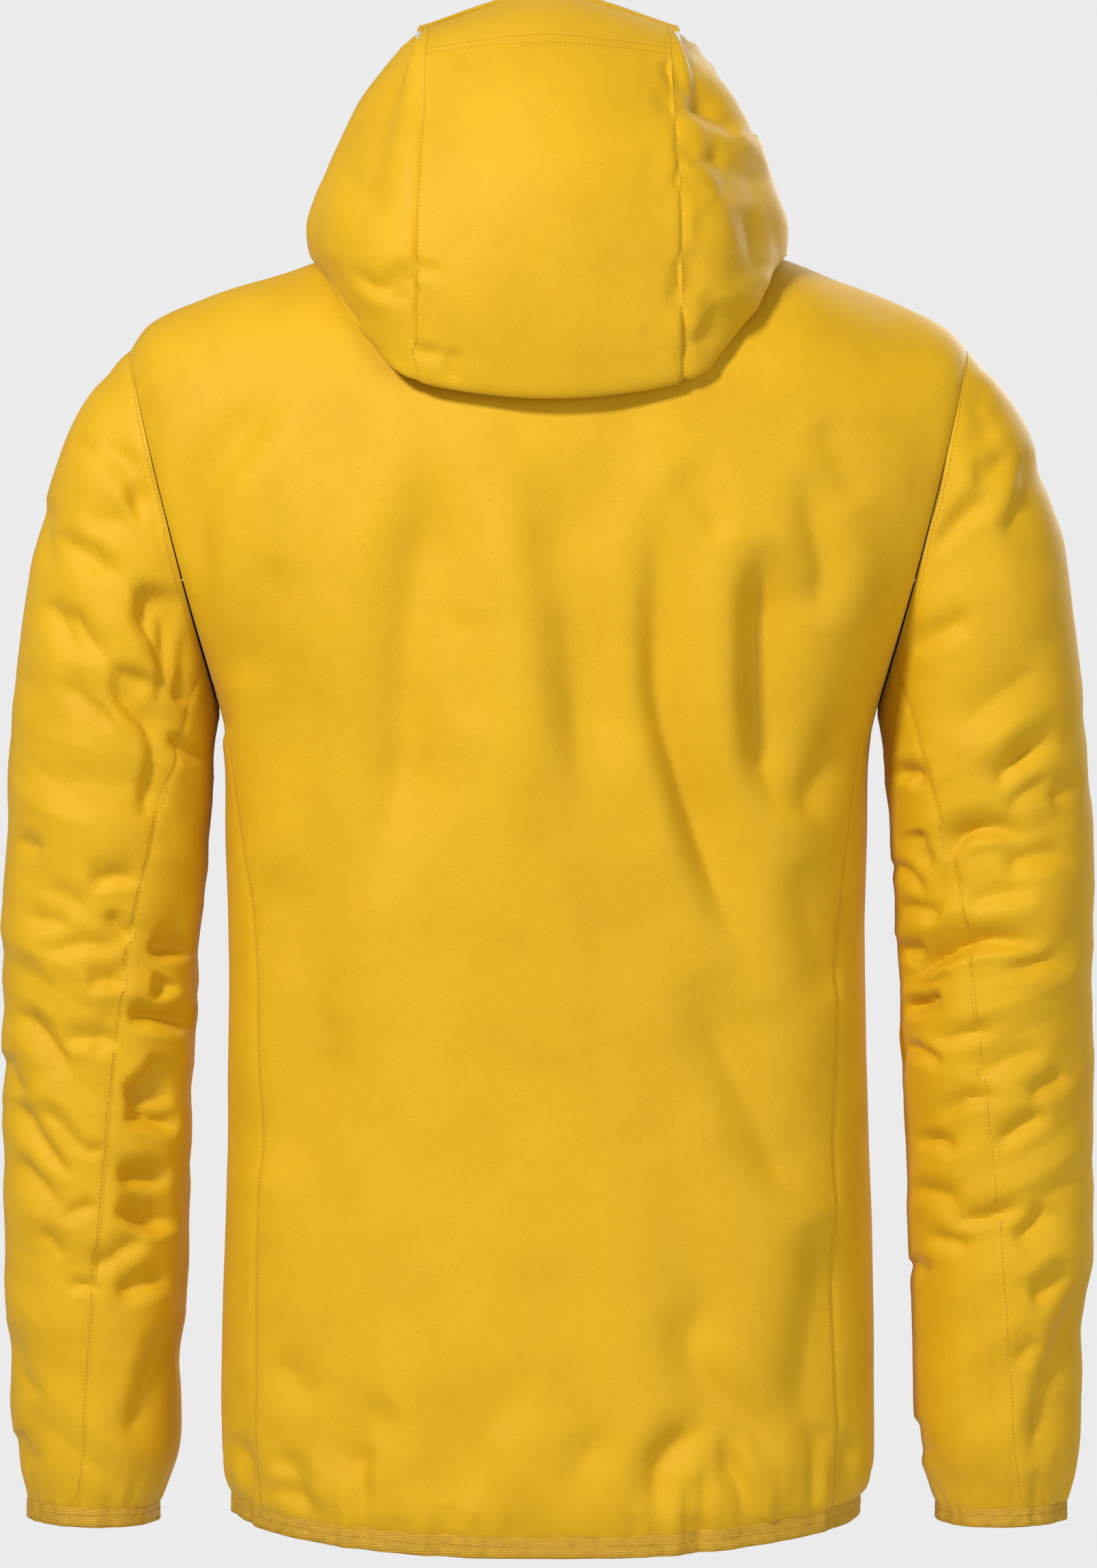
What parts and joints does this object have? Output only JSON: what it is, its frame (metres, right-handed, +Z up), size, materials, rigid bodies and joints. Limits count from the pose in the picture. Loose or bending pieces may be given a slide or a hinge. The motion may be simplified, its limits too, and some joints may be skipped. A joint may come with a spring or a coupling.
{
  "type": "hooded hardshell jacket",
  "caption": "Men's hooded hardshell jacket with a panelled hood, full-length front zip, zipped hand pockets, set-in sleeves and elastic-bound hem and cuffs.",
  "frame": {"origin": "where a hook bears on the underside of the hanger loop, inside the back of the neck", "axes": "+Z up along the standing body, +Y out of the wearer's back, +X to the wearer's left, so the front zip faces -Y"},
  "size_m": [0.654, 0.2622, 0.9186],
  "materials": {
    "shell_fabric": "matt golden yellow coated shell fabric",
    "elastic_binding": "fine ribbed golden yellow elastic",
    "lining_fabric": "pale grey brushed lining",
    "tape": "woven golden yellow tape",
    "zip_coil": "satin yellow moulded coil",
    "zip_metal": "satin grey lacquered zip metal"
  },
  "bodies": {
    "torso": {"back_panel": "shell_fabric", "front_panel_left": "shell_fabric", "front_panel_right": "shell_fabric", "hem_binding": "elastic_binding", "collar": "shell_fabric", "neck_facing": "lining_fabric", "hanger_loop": "tape", "zip_tape_left": "tape", "zip_tape_right": "tape", "zip_coil_left": "zip_coil", "zip_coil_right": "zip_coil", "zip_top_stop_left": "zip_metal", "zip_top_stop_right": "zip_metal", "zip_box": "zip_metal", "zip_pin": "zip_metal", "storm_flap": "shell_fabric", "chin_guard": "lining_fabric", "pocket_tape_left": "tape", "pocket_tape_right": "tape", "pocket_coil_left": "zip_coil", "pocket_coil_right": "zip_coil", "pocket_bag_left": "lining_fabric", "pocket_bag_right": "lining_fabric"},
    "hood": {"hood_center_panel": "shell_fabric", "hood_peak": "shell_fabric", "hood_side_left": "shell_fabric", "hood_side_right": "shell_fabric", "hood_elastic_left": "elastic_binding", "hood_elastic_right": "elastic_binding"},
    "sleeve_left": {"sleeve_top_left": "shell_fabric", "sleeve_under_left": "shell_fabric", "cuff_binding_left": "elastic_binding"},
    "sleeve_right": {"sleeve_top_right": "shell_fabric", "sleeve_under_right": "shell_fabric", "cuff_binding_right": "elastic_binding"},
    "front_slider": {"zip_slider": "zip_metal"},
    "front_puller": {"zip_puller": "zip_metal"},
    "pocket_slider_left": {"pocket_slider_left": "zip_metal"},
    "pocket_puller_left": {"pocket_puller_left": "zip_metal"},
    "pocket_slider_right": {"pocket_slider_right": "zip_metal"},
    "pocket_puller_right": {"pocket_puller_right": "zip_metal"}
  },
  "joints": [
    {"name": "sleeve_left_swing", "type": "hinge", "parent": "torso", "child": "sleeve_left", "pos_m": [0.25, -0.0565, -0.059], "axis": [0, -1, 0], "range_deg": [0, 30]},
    {"name": "sleeve_right_swing", "type": "hinge", "parent": "torso", "child": "sleeve_right", "pos_m": [-0.25, -0.0565, -0.059], "axis": [0, 1, 0], "range_deg": [0, 30]},
    {"name": "hood_nod", "type": "hinge", "parent": "torso", "child": "hood", "pos_m": [0, -0.1485, -0.043], "axis": [1, 0, 0], "range_deg": [0, 15]},
    {"name": "front_zip_slide", "type": "slide", "parent": "torso", "child": "front_slider", "axis": [0, -0.0364, -0.9993], "range_m": [0, 0.73]},
    {"name": "front_puller_swing", "type": "hinge", "parent": "front_slider", "child": "front_puller", "pos_m": [0, -0.15764, -0.00444], "axis": [-1, 0, 0], "range_deg": [0, 170]},
    {"name": "pocket_zip_left_slide", "type": "slide", "parent": "torso", "child": "pocket_slider_left", "axis": [0.1345, 0.0224, -0.9907], "range_m": [0, 0.149]},
    {"name": "pocket_puller_left_swing", "type": "hinge", "parent": "pocket_slider_left", "child": "pocket_puller_left", "pos_m": [0.11955, -0.157, -0.46688], "axis": [-0.8907, -0.4354, -0.1308], "range_deg": [0, 150]},
    {"name": "pocket_zip_right_slide", "type": "slide", "parent": "torso", "child": "pocket_slider_right", "axis": [-0.1345, 0.0224, -0.9907], "range_m": [0, 0.149]},
    {"name": "pocket_puller_right_swing", "type": "hinge", "parent": "pocket_slider_right", "child": "pocket_puller_right", "pos_m": [-0.11955, -0.157, -0.46688], "axis": [-0.8907, 0.4354, 0.1308], "range_deg": [0, 150]}
  ]
}
